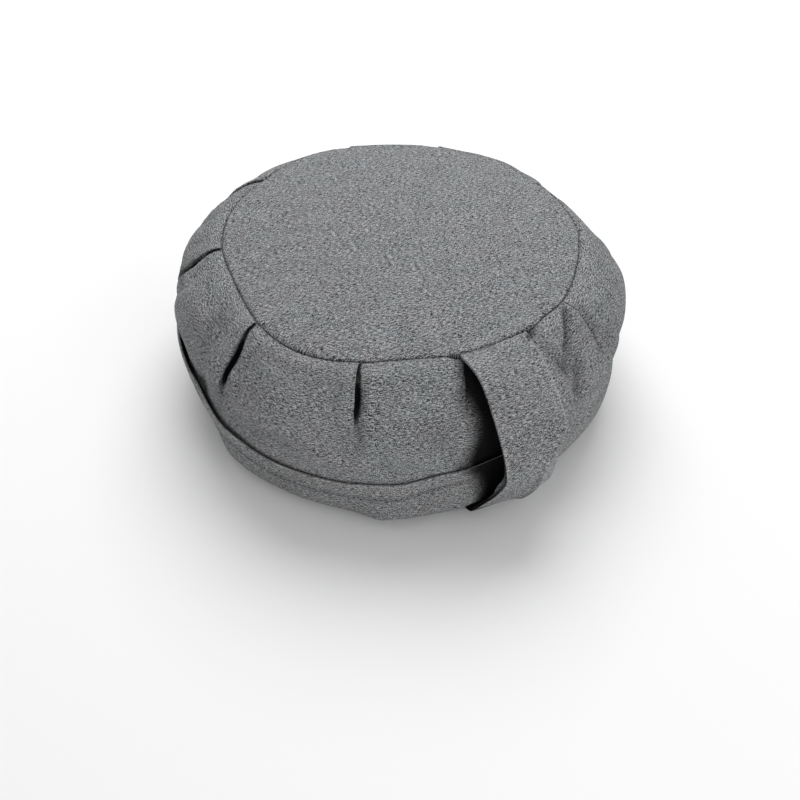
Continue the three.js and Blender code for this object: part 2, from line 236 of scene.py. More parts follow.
# how far to its left and right the shade behind the carrying strap reaches: height, left, right
STRAP_SHADE = np.array([
    (15, 24, 20), (35, 27, 20), (48, 31, 20), (55, 37, 20), (62, 39, 20), (72, 36, 20), (85, 33, 20),
    (98, 31, 20), (106, 33, 20), (113, 34, 18), (118, 31, 17), (122, 26, 17), (125, 23, 16),
])
STRAP_SHADE_SOFT = 9.0
STRAP_SHADE_TOP = (123.0, 126.0)


def under_strap(places):
    """Painted shade: 1 where the side lies behind the carrying strap, fading to 0 beside it."""
    x, y, z = np.asarray(places).T
    left, right = (np.interp(z, STRAP_SHADE[:, 0], STRAP_SHADE[:, side]) for side in (1, 2))
    reach = np.where(x < 0, left, right)
    beside = ease(reach - STRAP_SHADE_SOFT, reach + STRAP_SHADE_SOFT, np.abs(x))
    return np.where(y < 0, 1 - beside, 0.0) * fade(*STRAP_SHADE_TOP, z)


# knife pleats: azimuth at the seam, length, opening, lean, sway, seam offset there, then swell and seam
# bow up to the next pleat
PLEATS = np.array([
    (-165.4, 74, 1.15, -1.3, 0.15, 3, 1.2, 4.4),
    (-129.8, 57, 0.88, 1.3, 0, 2.4, 1, -4),
    (-99.2, 46, 0.55, -4, 0, -1, 0.8, 0),
    (-58.9, 60, 0.95, 1.6, 0, 0.7, 1, -1.9),
    (-22, 52, 0.60, 3, 1, 2.9, 0.7, 0.6),
    (8, 58, 0.75, -2, 0, 0, 0.5, 0),
    (48.3, 50, 0.65, 1.5, 0, -1, 0.4, -1.2),
    (79.4, 56, 0.70, -2, 1, 0.4, 0.2, 2),
    (115, 50, 1.00, 12, 2.6, 1.1, 0.4, 1.6),
    (155.6, 66, 0.78, -7.8, 1.9, -0.2, 0.8, -5),
])
AZIMUTH, LENGTH, OPENING, LEAN, SWAY, SEAM_OFFSET, SWELL, SEAM_BOW = range(8)
# the seam is dented beside the strap, straight where the strap is caught in it, and bows the side below it
SEAM_DENT, SEAM_DENT_AZIMUTH, SEAM_DENT_TURN = 1.8, -68.0, 4.5
STRAP_CAUGHT = (20.0, 31.0)
SEAM_BOW_FADE = (0.0, 34.0)


def seam_bow(azimuth):
    """How far the seam bows out between neighbouring pleats."""
    starts = PLEATS[:, AZIMUTH]
    turned = (azimuth - starts[0]) % 360.0 + starts[0]
    index = np.searchsorted(starts, turned, "right") - 1
    widths = np.append(starts[1:], starts[0] + 360.0) - starts
    share = (turned - starts[index]) / widths[index]
    ends = PLEATS[:, SEAM_OFFSET]
    bow = ends[index] + (np.roll(ends, -1)[index] - ends[index]) * share
    bow = bow + PLEATS[index, SEAM_BOW] * np.sin(np.pi * share)
    bow = bow - SEAM_DENT * bell(turn_from(azimuth, SEAM_DENT_AZIMUTH), 0.0, SEAM_DENT_TURN)
    angle = np.radians(azimuth)
    return bow * np.where(np.sin(angle) < 0, ease(*STRAP_CAUGHT, np.abs(SEAM_RADIUS * np.cos(angle))), 1.0)


def follow_seam(places, azimuth, drop):
    """Moves points of the side out or in with the seam's bows above them."""
    bow = seam_bow(azimuth) * fade(*SEAM_BOW_FADE, drop)
    places[:, :2] *= (1 + bow / np.hypot(places[:, 0], places[:, 1]))[:, None]


# a pleat's line runs on a little past its length, and its sway is widest a third of the way down
PLEAT_RUN_ON = 1.2
SWAY_TO_WIDEST = 6.75


def pleat_line(row, drop):
    """Azimuth of one pleat's folded edge at a drop below the seam."""
    azimuth, length, lean, sway = PLEATS[row, [AZIMUTH, LENGTH, LEAN, SWAY]]
    share = np.minimum(drop / length, PLEAT_RUN_ON)
    return azimuth + lean * share + sway * SWAY_TO_WIDEST * share * (1 - np.minimum(share, 1.0)) ** 2


# section across a pleat, over layer to under layer: place in the flat cloth, then across and out where
# the pleat lies shut and where it gapes
FOLD_ROWS = [
    (-15, -15, 0, -15, 0), (-11, -11.2, 0.15, -11, 0.35), (-7.5, -7.9, 0.35, -7.4, 0.8),
    (-4.5, -4.9, 0.6, -4.6, 1.1), (-2.4, -2.9, 0.8, -2.8, 1.2), (-1.2, -1.9, 0.75, -1.9, 1),
    (-0.6, -1.5, 0.4, -1.55, 0.45), (0, -1.55, -0.1, -1.6, -0.5), (0.8, -2.25, -0.55, -2, -2.2),
    (1.8, -3.6, -0.9, -2.6, -4.6), (2.8, -4.3, -1.35, -2.2, -6.6), (3.8, -3.4, -1.65, -0.7, -7),
    (5, -1.75, -1.5, 0.8, -5.6), (6.4, 0.1, -1.15, 1.9, -3.6), (8.2, 2.9, -0.75, 3.6, -1.8),
    (10.4, 6.6, -0.4, 6.6, -0.8), (12.6, 10.7, -0.15, 10.5, -0.3), (15, 15, 0, 15, 0),
]
FOLD_HALF = 15.0
FOLD_COLUMNS = 36
GAP_COLUMNS = 20
fold_walk = np.interp(np.linspace(0.0, 1.0, FOLD_COLUMNS), [0.0, 0.25, 0.75, 1.0], [0.0, 0.2, 0.8, 1.0])
fold_flat, shut_across, shut_out, gape_across, gape_out = Line(FOLD_ROWS).at_share(fold_walk)
gap_share = np.arange(1, GAP_COLUMNS + 1) / (GAP_COLUMNS + 1)
# shares of a pleat's length over which it opens, closes, is pressed shut below the seam and lets go
GAPE_OPENS, GAPE_CLOSES = (0.0, 0.48), (0.44, 1.04)
PRESS_STARTS, PRESS_ENDS = (0.0, 0.012), (0.1, 0.7)
# how hard it is pressed for its opening, how far shut it is at the seam, the gape at which it lies open
PRESS_FOR_OPENING = 1.5
SHUT_AT_SEAM, SHUT_SETTLES = 0.65, (0.0, 0.25)
GAPE_TAKES_OVER = (0.0, 0.3)
# the painted shade along a shut pleat's line: strength, depths that are shaded, where it starts and how it
# widens down
LINE_SHADE = 0.97
LINE_DEPTH, LINE_DEPTH_FULL, LINE_DEPTH_LESS = 1.3, 1.5, 0.35
LINE_STARTS, LINE_WIDENS = (0.011, 0.02), (0.0, 0.2)
# depths over which a gaping pleat's inside takes painted shade
GAPE_SHADE_DEPTH = (0.6, 4.2)
# the cloth puffs out between the pleats: how far, and the drops over which it rises and dies away
PUFF_OUT, PUFF_RISES, PUFF_DIES = 2.2, (0.0, 12.0), (30.0, 95.0)


def pleat_ring(arc):
    """Azimuth, distance out, painted shade and place in the flat cloth of the side's columns at one drop."""
    degrees = 180.0 / (math.pi * side_line.at(arc)[0])
    puff = PUFF_OUT * ease(*PUFF_RISES, arc) * fade(*PUFF_DIES, arc)
    azimuths, outs, hollows, flats = [], [], [], []
    for row in range(len(PLEATS)):
        length, opening, swell = PLEATS[row, [LENGTH, OPENING, SWELL]]
        line = pleat_line(row, arc)
        next_line = pleat_line((row + 1) % len(PLEATS), arc) + (360.0 if row + 1 == len(PLEATS) else 0.0)
        share = arc / length
        gape = opening * ease(*GAPE_OPENS, share) * fade(*GAPE_CLOSES, share)
        pressed = ease(*PRESS_STARTS, share) * fade(*PRESS_ENDS, share)
        pressed = pressed * min(1.0, PRESS_FOR_OPENING * opening)
        shut = pressed * (SHUT_AT_SEAM + (1 - SHUT_AT_SEAM) * ease(*SHUT_SETTLES, share))
        lie = ease(*GAPE_TAKES_OVER, gape)
        across = fold_flat + (shut_across - fold_flat) * shut * (1 - lie) + (gape_across - fold_flat) * lie
        out = shut_out * shut * (1 - lie) + gape_out * gape
        dark_from = LINE_DEPTH - LINE_DEPTH_LESS * ease(*LINE_WIDENS, share)
        line_shade = LINE_SHADE * ease(dark_from, LINE_DEPTH_FULL, -shut_out)
        line_shade = line_shade * pressed * ease(*LINE_STARTS, share)
        start, end = line + FOLD_HALF * degrees, next_line - FOLD_HALF * degrees
        spread = start + (end - start) * gap_share
        azimuths += [line + across * degrees, spread]
        outs += [out, puff * swell * np.sin(np.pi * gap_share)]
        # painted shade inside the fold, none between the pleats
        hollows += [np.maximum(ease(*GAPE_SHADE_DEPTH, -out), line_shade), np.zeros(GAP_COLUMNS)]
        flats += [line + fold_flat * degrees, spread]
    return [np.concatenate(part) for part in (azimuths, outs, hollows, flats)]


def crown_at(share):
    """Height of the top panel at a share of the way from its middle to the seam."""
    return SEAM_HEIGHT + (CROWN_HEIGHT - SEAM_HEIGHT) * (1 - share**CROWN_POWER)


def beside(*columns):
    """Rows of points from columns, where one value may stand for a whole column."""
    return np.stack(np.broadcast_arrays(*columns), -1)


def ring_faces(first, second, columns):
    """Faces that join two closed loops of points, the first loop above the second."""
    return [
        (first + c, second + c, second + (c + 1) % columns, first + (c + 1) % columns)
        for c in range(columns)
    ]


# the stuffing is let loose in a plain copy of the cover: cloth held at the seams, the pleats, the strap and
# the lap swells under pressure, and how far each place moves out is kept in a table of drop and azimuth
STUFF_TURNS = np.arange(-180.0, 180.0, 2.0)
STUFF_SHARES = np.array([0.12, 0.24, 0.36, 0.48, 0.6, 0.7, 0.8, 0.88, 0.95])
STUFF_DROPS = np.concatenate([np.arange(0.0, 96.0, 4.0), [104.0, 114.0, 126.0, 138.0, side_line.length]])
STUFF_BOTTOM_RADII = (100.0, 50.0)
STUFF_CAP = 3.0
STUFF_MOMENTS = 20
SEAM_HELD_DROP, LAP_HELD_DROP = 1, 86
PLEAT_HELD_HALF, PLEAT_HELD_SHARE = 5.0, 0.6
STRAP_HELD_HALF = 30.0


def stuffing_swell():
    """How far the stuffing lifts the top panel and pushes the side out, as tables."""
    width = len(STUFF_TURNS)
    turn = np.radians(STUFF_TURNS)
    spokes = np.stack([np.cos(turn), np.sin(turn)], -1)
    reach = SEAM_RADIUS + seam_bow(STUFF_TURNS)
    rows, held = [], []
    for share in STUFF_SHARES:
        rows.append(beside(*(reach * share * spokes.T), crown_at(share)))
        held.append(np.zeros(width))
    for drop in STUFF_DROPS:
        row = side_point(drop, STUFF_TURNS, np.zeros(width))
        follow_seam(row, STUFF_TURNS, drop)
        pin = np.full(width, float(drop < SEAM_HELD_DROP or drop > LAP_HELD_DROP))
        for pleat in range(len(PLEATS)):
            off = np.radians(turn_from(STUFF_TURNS, pleat_line(pleat, drop))) * TURN_RADIUS
            in_pleat = drop < PLEAT_HELD_SHARE * PLEATS[pleat, LENGTH]
            pin = np.maximum(pin, (np.abs(off) < PLEAT_HELD_HALF) * in_pleat)
        pin = np.maximum(pin, (row[:, 1] < 0) * (np.abs(row[:, 0]) < STRAP_HELD_HALF))
        rows.append(row)
        held.append(pin)
    for radius in STUFF_BOTTOM_RADII:
        rows.append(beside(*(spokes.T * radius), 0.0))
        held.append(np.ones(width))
    count = len(rows)
    places = np.concatenate(rows + [[[0, 0, CROWN_HEIGHT]], [[0, 0, 0]]])
    top_middle, bottom_middle, last = count * width, count * width + 1, (count - 1) * width
    quads = [face for k in range(count - 1) for face in ring_faces(k * width, (k + 1) * width, width)]
    quads += [(top_middle, c, (c + 1) % width) for c in range(width)]
    quads += [(bottom_middle, last + (c + 1) % width, last + c) for c in range(width)]
    mesh = bpy.data.meshes.new("stuffed_copy")
    mesh.from_pydata((places * MM).tolist(), [], quads)
    copy = bpy.data.objects.new("stuffed_copy", mesh)
    scene.collection.objects.link(copy)
    group = copy.vertex_groups.new(name="held")
    held_points = np.flatnonzero(np.concatenate(held + [[0.0], [1.0]]) > 0.5)
    group.add([int(i) for i in held_points], 1.0, "REPLACE")
    swelling = copy.modifiers.new("swelling", "CLOTH")
    cloth = swelling.settings
    cloth.quality = 6
    cloth.mass = 0.25
    cloth.tension_stiffness = cloth.compression_stiffness = 18.0
    cloth.shear_stiffness = 8.0
    cloth.bending_stiffness = 1.5
    cloth.use_pressure = True
    cloth.uniform_pressure_force = 4.0
    cloth.shrink_min = -0.035
    cloth.effector_weights.gravity = 0.0
    cloth.vertex_group_mass = "held"
    swelling.collision_settings.use_collision = False
    for moment in range(1, STUFF_MOMENTS + 1):
        scene.frame_set(moment)
    loose = copy.evaluated_get(bpy.context.evaluated_depsgraph_get()).to_mesh()
    moved = np.zeros(len(loose.vertices) * 3)
    loose.vertices.foreach_get("co", moved)
    moved = moved.reshape(-1, 3)[: count * width] / MM
    bpy.data.objects.remove(copy)
    scene.frame_set(1)
    shift = (moved - places[: count * width]).reshape(count, width, 3)
    outward = (shift[:, :, :2] * spokes).sum(-1)
    top = np.clip(shift[: len(STUFF_SHARES), :, 2], -STUFF_CAP, STUFF_CAP)
    run_out, run_up = side_line.run(STUFF_DROPS)
    side = slice(len(STUFF_SHARES), len(STUFF_SHARES) + len(STUFF_DROPS))
    swell = -run_up[:, None] * outward[side] + run_out[:, None] * shift[side, :, 2]
    swell = np.clip(swell - swell.mean(1, keepdims=True), -STUFF_CAP, STUFF_CAP)
    return top - top.mean(1, keepdims=True), swell


top_swell, side_swell = stuffing_swell()


def swell_at(table, steps, step, azimuth):
    """Looks up how far the stuffing moved the cover out, between the table's rows and columns."""
    row = np.clip(np.searchsorted(steps, step) - 1, 0, len(steps) - 2)
    part = np.clip((step - steps[row]) / (steps[row + 1] - steps[row]), 0.0, 1.0)
    line = table[row] * (1 - part) + table[row + 1] * part
    turned = (azimuth + 180.0) % 360.0 - 180.0
    return np.interp(turned, np.append(STUFF_TURNS, 180.0), np.append(line, line[0]))


# the seam: how deep it lies, how tight the cloth rolls into it, rows of points beside it, its shade
SEAM_DIP = 1.5
SEAM_ROLL = 0.85
SEAM_STEPS = [0.22, 0.45, 0.7, 1.0, 1.35, 1.8, 2.4, 3.3, 4.6, 6.2]
TOP_SEAM_SHADE, TOP_SEAM_SHADE_REACH = 0.6, 0.4
SIDE_SEAM_SHADE, SIDE_SEAM_SHADE_REACH = 0.75, 0.5
# deeper tucks of the side under the top panel's edge: depth, azimuth, half turn
SEAM_TUCKS = [(1.5, -148.0, 11.0), (0.9, -72.0, 9.0)]
SEAM_TUCK_ROUND = 0.4
TOP_TUCK_SHARE, TOP_TUCK_REACH, SIDE_TUCK_REACH = 0.5, 1.6, 3.2
# top panel: turn of its weave, rows of points, how far in from the seam its edge keeps the seam's shape
TOP_GRAIN = math.radians(-9.0)
TOP_SHARES = np.linspace(0.03, 0.935, 24)
TOP_EDGE = 8.0
TOP_SWELL_EDGE, TOP_SWELL_MIDDLE = (0.0, 12.0), (0.0, 0.2)
TOP_RIPPLE, TOP_RIPPLE_SIZE, TOP_RIPPLE_EDGE = 0.5, 60.0, (0.0, 30.0)
TOP_DENT, TOP_DENT_X, TOP_DENT_Y, TOP_DENT_REACH, TOP_DENT_EDGE = 1.6, 25.0, -105.0, 14.0, (2.0, 12.0)
# side: rows of points, drops over which swell and ripples start and end, ripples' rise and size
SIDE_DROPS = np.concatenate(
    [[0.0], SEAM_STEPS, np.arange(8.0, 84.0, 1.5), np.arange(84.0, 149.0, 3.0), [side_line.length]]
)
SIDE_SWELL_STARTS = (6.0, 30.0)
SIDE_RIPPLE_STARTS, SIDE_RIPPLE_ENDS = (4.0, 30.0), (86.0, 110.0)
WIDE_RIPPLE, WIDE_RIPPLE_SIZE, FINE_RIPPLE, FINE_RIPPLE_SIZE = 0.8, 38.0, 0.3, 14.0
CREASE_SHADE, CREASE_SHADE_MOST = -0.17, 0.58
# bottom panel, seam to middle: radius, height
BOTTOM_ROWS = [
    (136, 3), (134.6, 1.8), (134, 0.8), (132.8, 0.25), (131, 0),
    (115, 0), (80, 0), (40, 0), (8, 0),
]
# where in the bolt each panel is cut, so that no two show the same fibres, and the radius of the flat side
SIDE_BOLT, BOTTOM_BOLT = 40.0, 90.0
FLAT_RADIUS = 165.0
FOOT_TURN_IN = 3.0
whole_turn = 2 * math.pi * FLAT_RADIUS


def seam_tuck(azimuth):
    """How much deeper the side tucks in under the top panel's edge, round the seam."""
    tucks = sum(depth * bell(turn_from(azimuth, middle), 0.0, turn) for depth, middle, turn in SEAM_TUCKS)
    return tucks + SEAM_TUCK_ROUND


rings = []
azimuth = pleat_ring(0.0)[0]
seam_places = side_point(0.0, azimuth, np.full_like(azimuth, -SEAM_DIP))
seam_reach = np.hypot(seam_places[:, 0], seam_places[:, 1]) + seam_bow(azimuth)
angle = np.radians(azimuth)
around = np.stack([np.cos(angle), np.sin(angle)])
columns = len(azimuth)
grain = np.array([
    [math.cos(TOP_GRAIN), -math.sin(TOP_GRAIN)],
    [math.sin(TOP_GRAIN), math.cos(TOP_GRAIN)],
])
for inset in np.concatenate([SEAM_RADIUS * (1 - TOP_SHARES), SEAM_STEPS[::-1]]):
    share = 1 - inset / SEAM_RADIUS
    reach = seam_reach * share if inset > TOP_EDGE else seam_reach - inset
    level = crown_at(share) - SEAM_DIP * bell(inset, 0.0, SEAM_ROLL)
    level = level - TOP_TUCK_SHARE * seam_tuck(azimuth) * bell(inset, 0.0, TOP_TUCK_REACH)
    points = beside(*(around * reach), level)
    swell = swell_at(top_swell, STUFF_SHARES, share, azimuth)
    points[:, 2] += swell * ease(*TOP_SWELL_EDGE, inset) * ease(*TOP_SWELL_MIDDLE, share)
    points[:, 2] += TOP_RIPPLE * ripple(points, TOP_RIPPLE_SIZE, seed=3.0) * ease(*TOP_RIPPLE_EDGE, inset)
    from_dent = np.hypot(points[:, 0] - TOP_DENT_X, points[:, 1] - TOP_DENT_Y)
    points[:, 2] -= TOP_DENT * bell(from_dent, 0.0, TOP_DENT_REACH) * ease(*TOP_DENT_EDGE, inset)
    cloth = beside(*(points[:, :2] @ grain).T, 0.0)
    # painted shade along the seam on the top panel's edge
    rings.append((points, cloth, np.full(columns, TOP_SEAM_SHADE * bell(inset, 0.0, TOP_SEAM_SHADE_REACH))))
seam_ring = len(rings)
for arc in SIDE_DROPS:
    azimuth, out, painted_shade, flat = pleat_ring(arc)
    bare = side_point(arc, azimuth, np.zeros_like(azimuth))
    crease = creased(arc, azimuth)
    rippled = WIDE_RIPPLE * ripple(bare, WIDE_RIPPLE_SIZE, seed=11.0)
    rippled = rippled + FINE_RIPPLE * ripple(bare, FINE_RIPPLE_SIZE, seed=5.0)
    out = out - SEAM_DIP * bell(arc, 0.0, SEAM_ROLL) - seam_tuck(azimuth) * bell(arc, 0.0, SIDE_TUCK_REACH)
    out = out + crease + swell_at(side_swell, STUFF_DROPS, arc, azimuth) * ease(*SIDE_SWELL_STARTS, arc)
    out = out + ease(*SIDE_RIPPLE_STARTS, arc) * fade(*SIDE_RIPPLE_ENDS, arc) * rippled
    points = side_point(arc, azimuth, out)
    follow_seam(points, azimuth, arc)
    cloth = beside(np.radians(flat) * FLAT_RADIUS, -arc, SIDE_BOLT)
    # painted shade along the seam, in the creases and behind the strap
    painted_shade = np.maximum(painted_shade, SIDE_SEAM_SHADE * bell(arc, 0.0, SIDE_SEAM_SHADE_REACH))
    painted_shade = np.maximum(painted_shade, np.clip(CREASE_SHADE * crease, 0.0, CREASE_SHADE_MOST))
    rings.append((points, cloth, np.maximum(painted_shade, under_strap(points))))
foot_ring = len(rings)
for radius, level in BOTTOM_ROWS:
    panel = around * radius
    rings.append((beside(*panel, level), beside(*panel, BOTTOM_BOLT), np.zeros(columns)))


def ring_weave(upper, lower):
    """Places in the flat cloth of the corners of ring faces; both rows end with their first column again."""
    steps = range(len(upper) - 1)
    return [place for c in steps for place in (upper[c], lower[c], lower[c + 1], upper[c + 1])]


def mesh_piece(name, points, faces, painted_shade, wear_and_highlight=0.0, weave=0.0):
    """A smooth-shaded mesh in metres that also stores its painted shade, its paler edges of wear with painted
    highlight, and places in the flat cloth.
    """
    mesh = bpy.data.meshes.new(name)
    mesh.from_pydata((points * MM).tolist(), [], faces)
    mesh.shade_smooth()
    places = np.zeros((len(mesh.loops), 3)) + weave
    mesh.attributes.new("weave", "FLOAT_VECTOR", "CORNER").data.foreach_set("vector", (places * MM).ravel())
    # painted shade, and paler wear with painted highlight, stored on every point
    for key, values in (("painted_shade", painted_shade), ("wear_and_highlight", wear_and_highlight)):
        stored = np.zeros(len(points)) + values
        mesh.attributes.new(key, "FLOAT", "POINT").data.foreach_set("value", stored)
    piece = bpy.data.objects.new(name, mesh)
    scene.collection.objects.link(piece)
    return piece


points = np.concatenate([ring[0] for ring in rings] + [[[0, 0, CROWN_HEIGHT]], [[0, 0, 0]]])
# painted shade of every point of the cushion
painted_shade = np.concatenate([ring[2] for ring in rings] + [[0.0], [0.0]])
cloth_places = [np.vstack([ring[1], ring[1][:1]]) for ring in rings]
for k in range(seam_ring, foot_ring):
    cloth_places[k][-1, 0] += whole_turn
faces, weave = [], []
for k in range(len(rings) - 1):
    upper, lower = cloth_places[k], cloth_places[k + 1]
    if k + 1 == seam_ring:
        edge = beside(*(rings[seam_ring][0][:, :2] @ grain).T, 0.0)
        lower = np.vstack([edge, edge[:1]])
    if k + 1 == foot_ring:
        lower = upper - np.array([0.0, FOOT_TURN_IN, 0.0])
    faces += ring_faces(k * columns, (k + 1) * columns, columns)
    weave += ring_weave(upper, lower)
top_middle, bottom_middle, last = len(points) - 2, len(points) - 1, (len(rings) - 1) * columns
for c in range(columns):
    n = (c + 1) % columns
    faces.append((top_middle, c, n))
    weave += [np.zeros(3), cloth_places[0][c], cloth_places[0][c + 1]]
    faces.append((bottom_middle, last + n, last + c))
    weave += [np.array([0, 0, BOTTOM_BOLT]), cloth_places[-1][c + 1], cloth_places[-1][c]]
cushion = mesh_piece("cushion", points, faces, painted_shade, weave=weave)


class Wire:
    """A socket of a material, so that shader sums are written as sums."""

    def __init__(self, finish, socket):
        self.finish, self.socket = finish, socket

    def sum(self, operation, first, second):
        return self.finish.node("ShaderNodeMath", {"operation": operation}, {0: first, 1: second})

    def __add__(self, other):
        return self.sum("ADD", self, other)

    def __radd__(self, other):
        return self.sum("ADD", other, self)

    def __sub__(self, other):
        return self.sum("SUBTRACT", self, other)

    def __rsub__(self, other):
        return self.sum("SUBTRACT", other, self)

    def __mul__(self, other):
        return self.sum("MULTIPLY", self, other)

    def __rmul__(self, other):
        return self.sum("MULTIPLY", other, self)


class Finish:
    """One material and its nodes."""

    def __init__(self, name):
        self.material = bpy.data.materials.new(name)
        self.material.use_nodes = True
        self.tree = self.material.node_tree
        self.tree.nodes.clear()

    def node(self, kind, settings, sockets, output=0):
        made = self.tree.nodes.new(kind)
        for key, value in settings.items():
            setattr(made, key, value)
        for key, value in sockets.items():
            if isinstance(value, Wire):
                self.tree.links.new(value.socket, made.inputs[key])
            else:
                made.inputs[key].default_value = value
        return Wire(self, made.outputs[output]) if made.outputs else made

    def mix(self, share, first, second):
        """The first colour where the share is 0, the second where it is 1."""
        return self.node("ShaderNodeMix", {"data_type": "RGBA"}, {0: share, 6: first, 7: second}, 2)

    def surface(self, sockets):
        """Closes the material with its one surface."""
        made = self.node("ShaderNodeBsdfPrincipled", {}, sockets)
        self.node("ShaderNodeOutputMaterial", {}, {"Surface": made})
        return self.material


# fibres to a metre along, across and through the cloth, detail, and weight in the mix of dark and pale
WEFT = ((350.0, 2150.0, 300.0), 1.0, 3.4)
WARP = ((2150.0, 720.0, 300.0), 1.0, 2.0)
SPECKS = ((2100.0, 2100.0, 300.0), 1.0, 4.2)
SLUBS = ((52.0, 1000.0, 300.0), 1.0, 0.7)
MOTTLE = ((30.0, 110.0, 60.0), 2.0, 0.28)
TINT = ((38.0, 60.0, 40.0), 1.0, 5.0)
PALE_SHARE = 0.3
# how much paler wear with painted highlight makes the cloth
WEAR_AND_HIGHLIGHT_SHARE = 0.18
WEFT_RELIEF, WARP_RELIEF, SPECK_RELIEF = 0.6, 0.4, 0.5
DARK_FIBRE = (0.012, 0.0125, 0.013, 1.0)
PALE_FIBRE = (0.503, 0.525, 0.539, 1.0)
WARM_FIBRE = (0.520, 0.521, 0.534, 1.0)
# near-black colour of the painted shade, and how much of it is mixed in at full painted shade
DEEP_SHADE = (0.001, 0.001, 0.001, 1.0)
DEEP_SHARE = 0.98


def heather_cloth(name, pale_fibre, warm_fibre):
    """Woven cloth of dark and pale fibres: short streaks along both threads, specks, soft mottling, paler with
    wear and painted highlight, nearly black in painted shade.
    """
    finish = Finish(name)
    place = finish.node("ShaderNodeAttribute", {"attribute_name": "weave"}, {}, "Vector")
    # stored painted shade darkens the colour nearly to black; stored wear with painted highlight makes it paler
    depth = finish.node("ShaderNodeAttribute", {"attribute_name": "painted_shade"}, {}, "Fac")
    wear_and_highlight_fac = finish.node("ShaderNodeAttribute", {"attribute_name": "wear_and_highlight"}, {}, "Fac")

    def fibres(stretch, detail, weight):
        at = finish.node("ShaderNodeVectorMath", {"operation": "MULTIPLY"}, {0: place, 1: stretch}, "Vector")
        sockets = {"Vector": at, "Scale": 1.0, "Detail": detail, "Roughness": 0.6}
        drawn = finish.node("ShaderNodeTexNoise", {}, sockets, "Fac")
        return drawn, (drawn - 0.5) * weight

    (weft, weft_part), (warp, warp_part), (specks, speck_part) = fibres(*WEFT), fibres(*WARP), fibres(*SPECKS)
    blend = PALE_SHARE + weft_part + warp_part + speck_part + fibres(*SLUBS)[1] + fibres(*MOTTLE)[1]
    share = finish.node("ShaderNodeClamp", {}, {"Value": blend + wear_and_highlight_fac * WEAR_AND_HIGHLIGHT_SHARE})
    tinted = finish.node("ShaderNodeClamp", {}, {"Value": fibres(*TINT)[1] + 0.5})
    mixed = finish.mix(share, DARK_FIBRE, finish.mix(tinted, pale_fibre, warm_fibre))
    shaded = finish.mix(depth * DEEP_SHARE, mixed, DEEP_SHADE)
    relief = weft * WEFT_RELIEF + warp * WARP_RELIEF + specks * SPECK_RELIEF
    bump = finish.node("ShaderNodeBump", {}, {"Strength": 0.3, "Distance": 0.0004, "Height": relief})
    return finish.surface({"Base Color": shaded, "Roughness": 0.95, "Specular IOR Level": 0.12, "Normal": bump})


cushion.data.materials.append(heather_cloth("body_heather", PALE_FIBRE, WARM_FIBRE))
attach(cushion, "root")
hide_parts("cushion_body")


# Lap band: the lower side band, its free upper edge folded in and stitched down, standing off the side to
# cover the closure behind it; sewn in with the bottom panel.
LAP_THICK = 1.9
LAP_LEAST_THICK = 0.8
LAP_CLEAR = 0.45
LAP_HEIGHT = 55.0
LAP_LIFT_SHARE, LAP_LIFT_FADE = 0.85, (0.0, 20.0)
LAP_STITCH_DROP = 14.0
LAP_STITCH_DIP, LAP_STITCH_DIP_REACH = 0.8, 1.2
LAP_COLUMNS = 432
# the free edge lies pressed into the side right of the strap: azimuths, drops below the edge, how deep
PRESSED_FROM, PRESSED_TO, PRESSED_FADE, PRESSED_IN = (-86.0, -77.0), (-40.0, -20.0), (0.0, 22.0), 1.3
# rows below the free edge, then shares of the rest of the way to the bottom seam
HEM_DROPS = [0.1, 0.3, 0.7, 1.3, 2.5, 5.0, 7.5, 9.5, 11.0, 12.2, 13.0, 13.6, 14.0, 14.4, 15.0, 15.8, 17.0, 19.0]
BELOW_HEM_SHARES = np.linspace(0.06, 1.0, 18)
HEM_ROUND = 0.9
# puckers along the stitching and soft waves below the edge: rise, size, reach or where they start and end
PUCKER, PUCKER_SIZE, PUCKER_REACH = 0.4, 10.0, 8.0
WAVE, WAVE_SIZE, WAVE_STARTS, WAVE_ENDS = 0.6, 34.0, (2.0, 12.0), (0.7, 1.0)
# painted shade along the stitching, paler wear with painted highlight along the free edge, painted shade on the
# lap's back
STITCH_SHADE, STITCH_SHADE_BELOW, STITCH_SHADE_REACH = 0.36, 0.9, 1.3
LAP_WEAR_AND_HIGHLIGHT_REACH = 1.4
LAP_BACK_SHADE, LAP_BACK_SHADE_FROM = 0.9, (0.3, 1.5)
LAP_CUT, LAP_BACK_CUT, LAP_BOLT, LAP_BACK_BOLT = 300.0, 200.0, 140.0, 170.0
LAP_PALE_FIBRE = (0.497, 0.515, 0.523, 1.0)
LAP_WARM_FIBRE = (0.511, 0.509, 0.516, 1.0)
lap_azimuth = np.arange(LAP_COLUMNS) * 360.0 / LAP_COLUMNS - 180.0
lap_end = side_line.length - 0.6


def lap_top_at(azimuth):
    """Drop of the lap band's free edge below the top seam."""
    return np.interp(-(LAP_HEIGHT + round_at(LAP_RISE, azimuth)), -side_line.points[:, 1], side_line.lengths)


def lap_pressed(azimuth):
    """1 to the right of the strap, where the free edge lies pressed into the side, 0 elsewhere."""
    turned = turn_from(azimuth, 0.0)
    return ease(*PRESSED_FROM, turned) * fade(*PRESSED_TO, turned)


def lap_points(azimuth, drop, out):
    """Points of the lap band at a drop below its free edge, a distance out from the cloth behind it."""
    arc = np.minimum(lap_top_at(azimuth) + drop, lap_end)
    away = LAP_CLEAR + LAP_LIFT_SHARE * round_at(LAP_LIFT, azimuth) * fade(*LAP_LIFT_FADE, drop)
    pressed = lap_pressed(azimuth) * fade(*PRESSED_FADE, drop)
    return side_point(arc, azimuth, (away + out) * (1 - pressed) - PRESSED_IN * pressed)


def hem_roundness(drop):
    """0 at the very edge of the hem, 1 once past its round fold."""
    return np.sqrt(1 - (1 - np.clip(drop / HEM_ROUND, 0, 1)) ** 2)


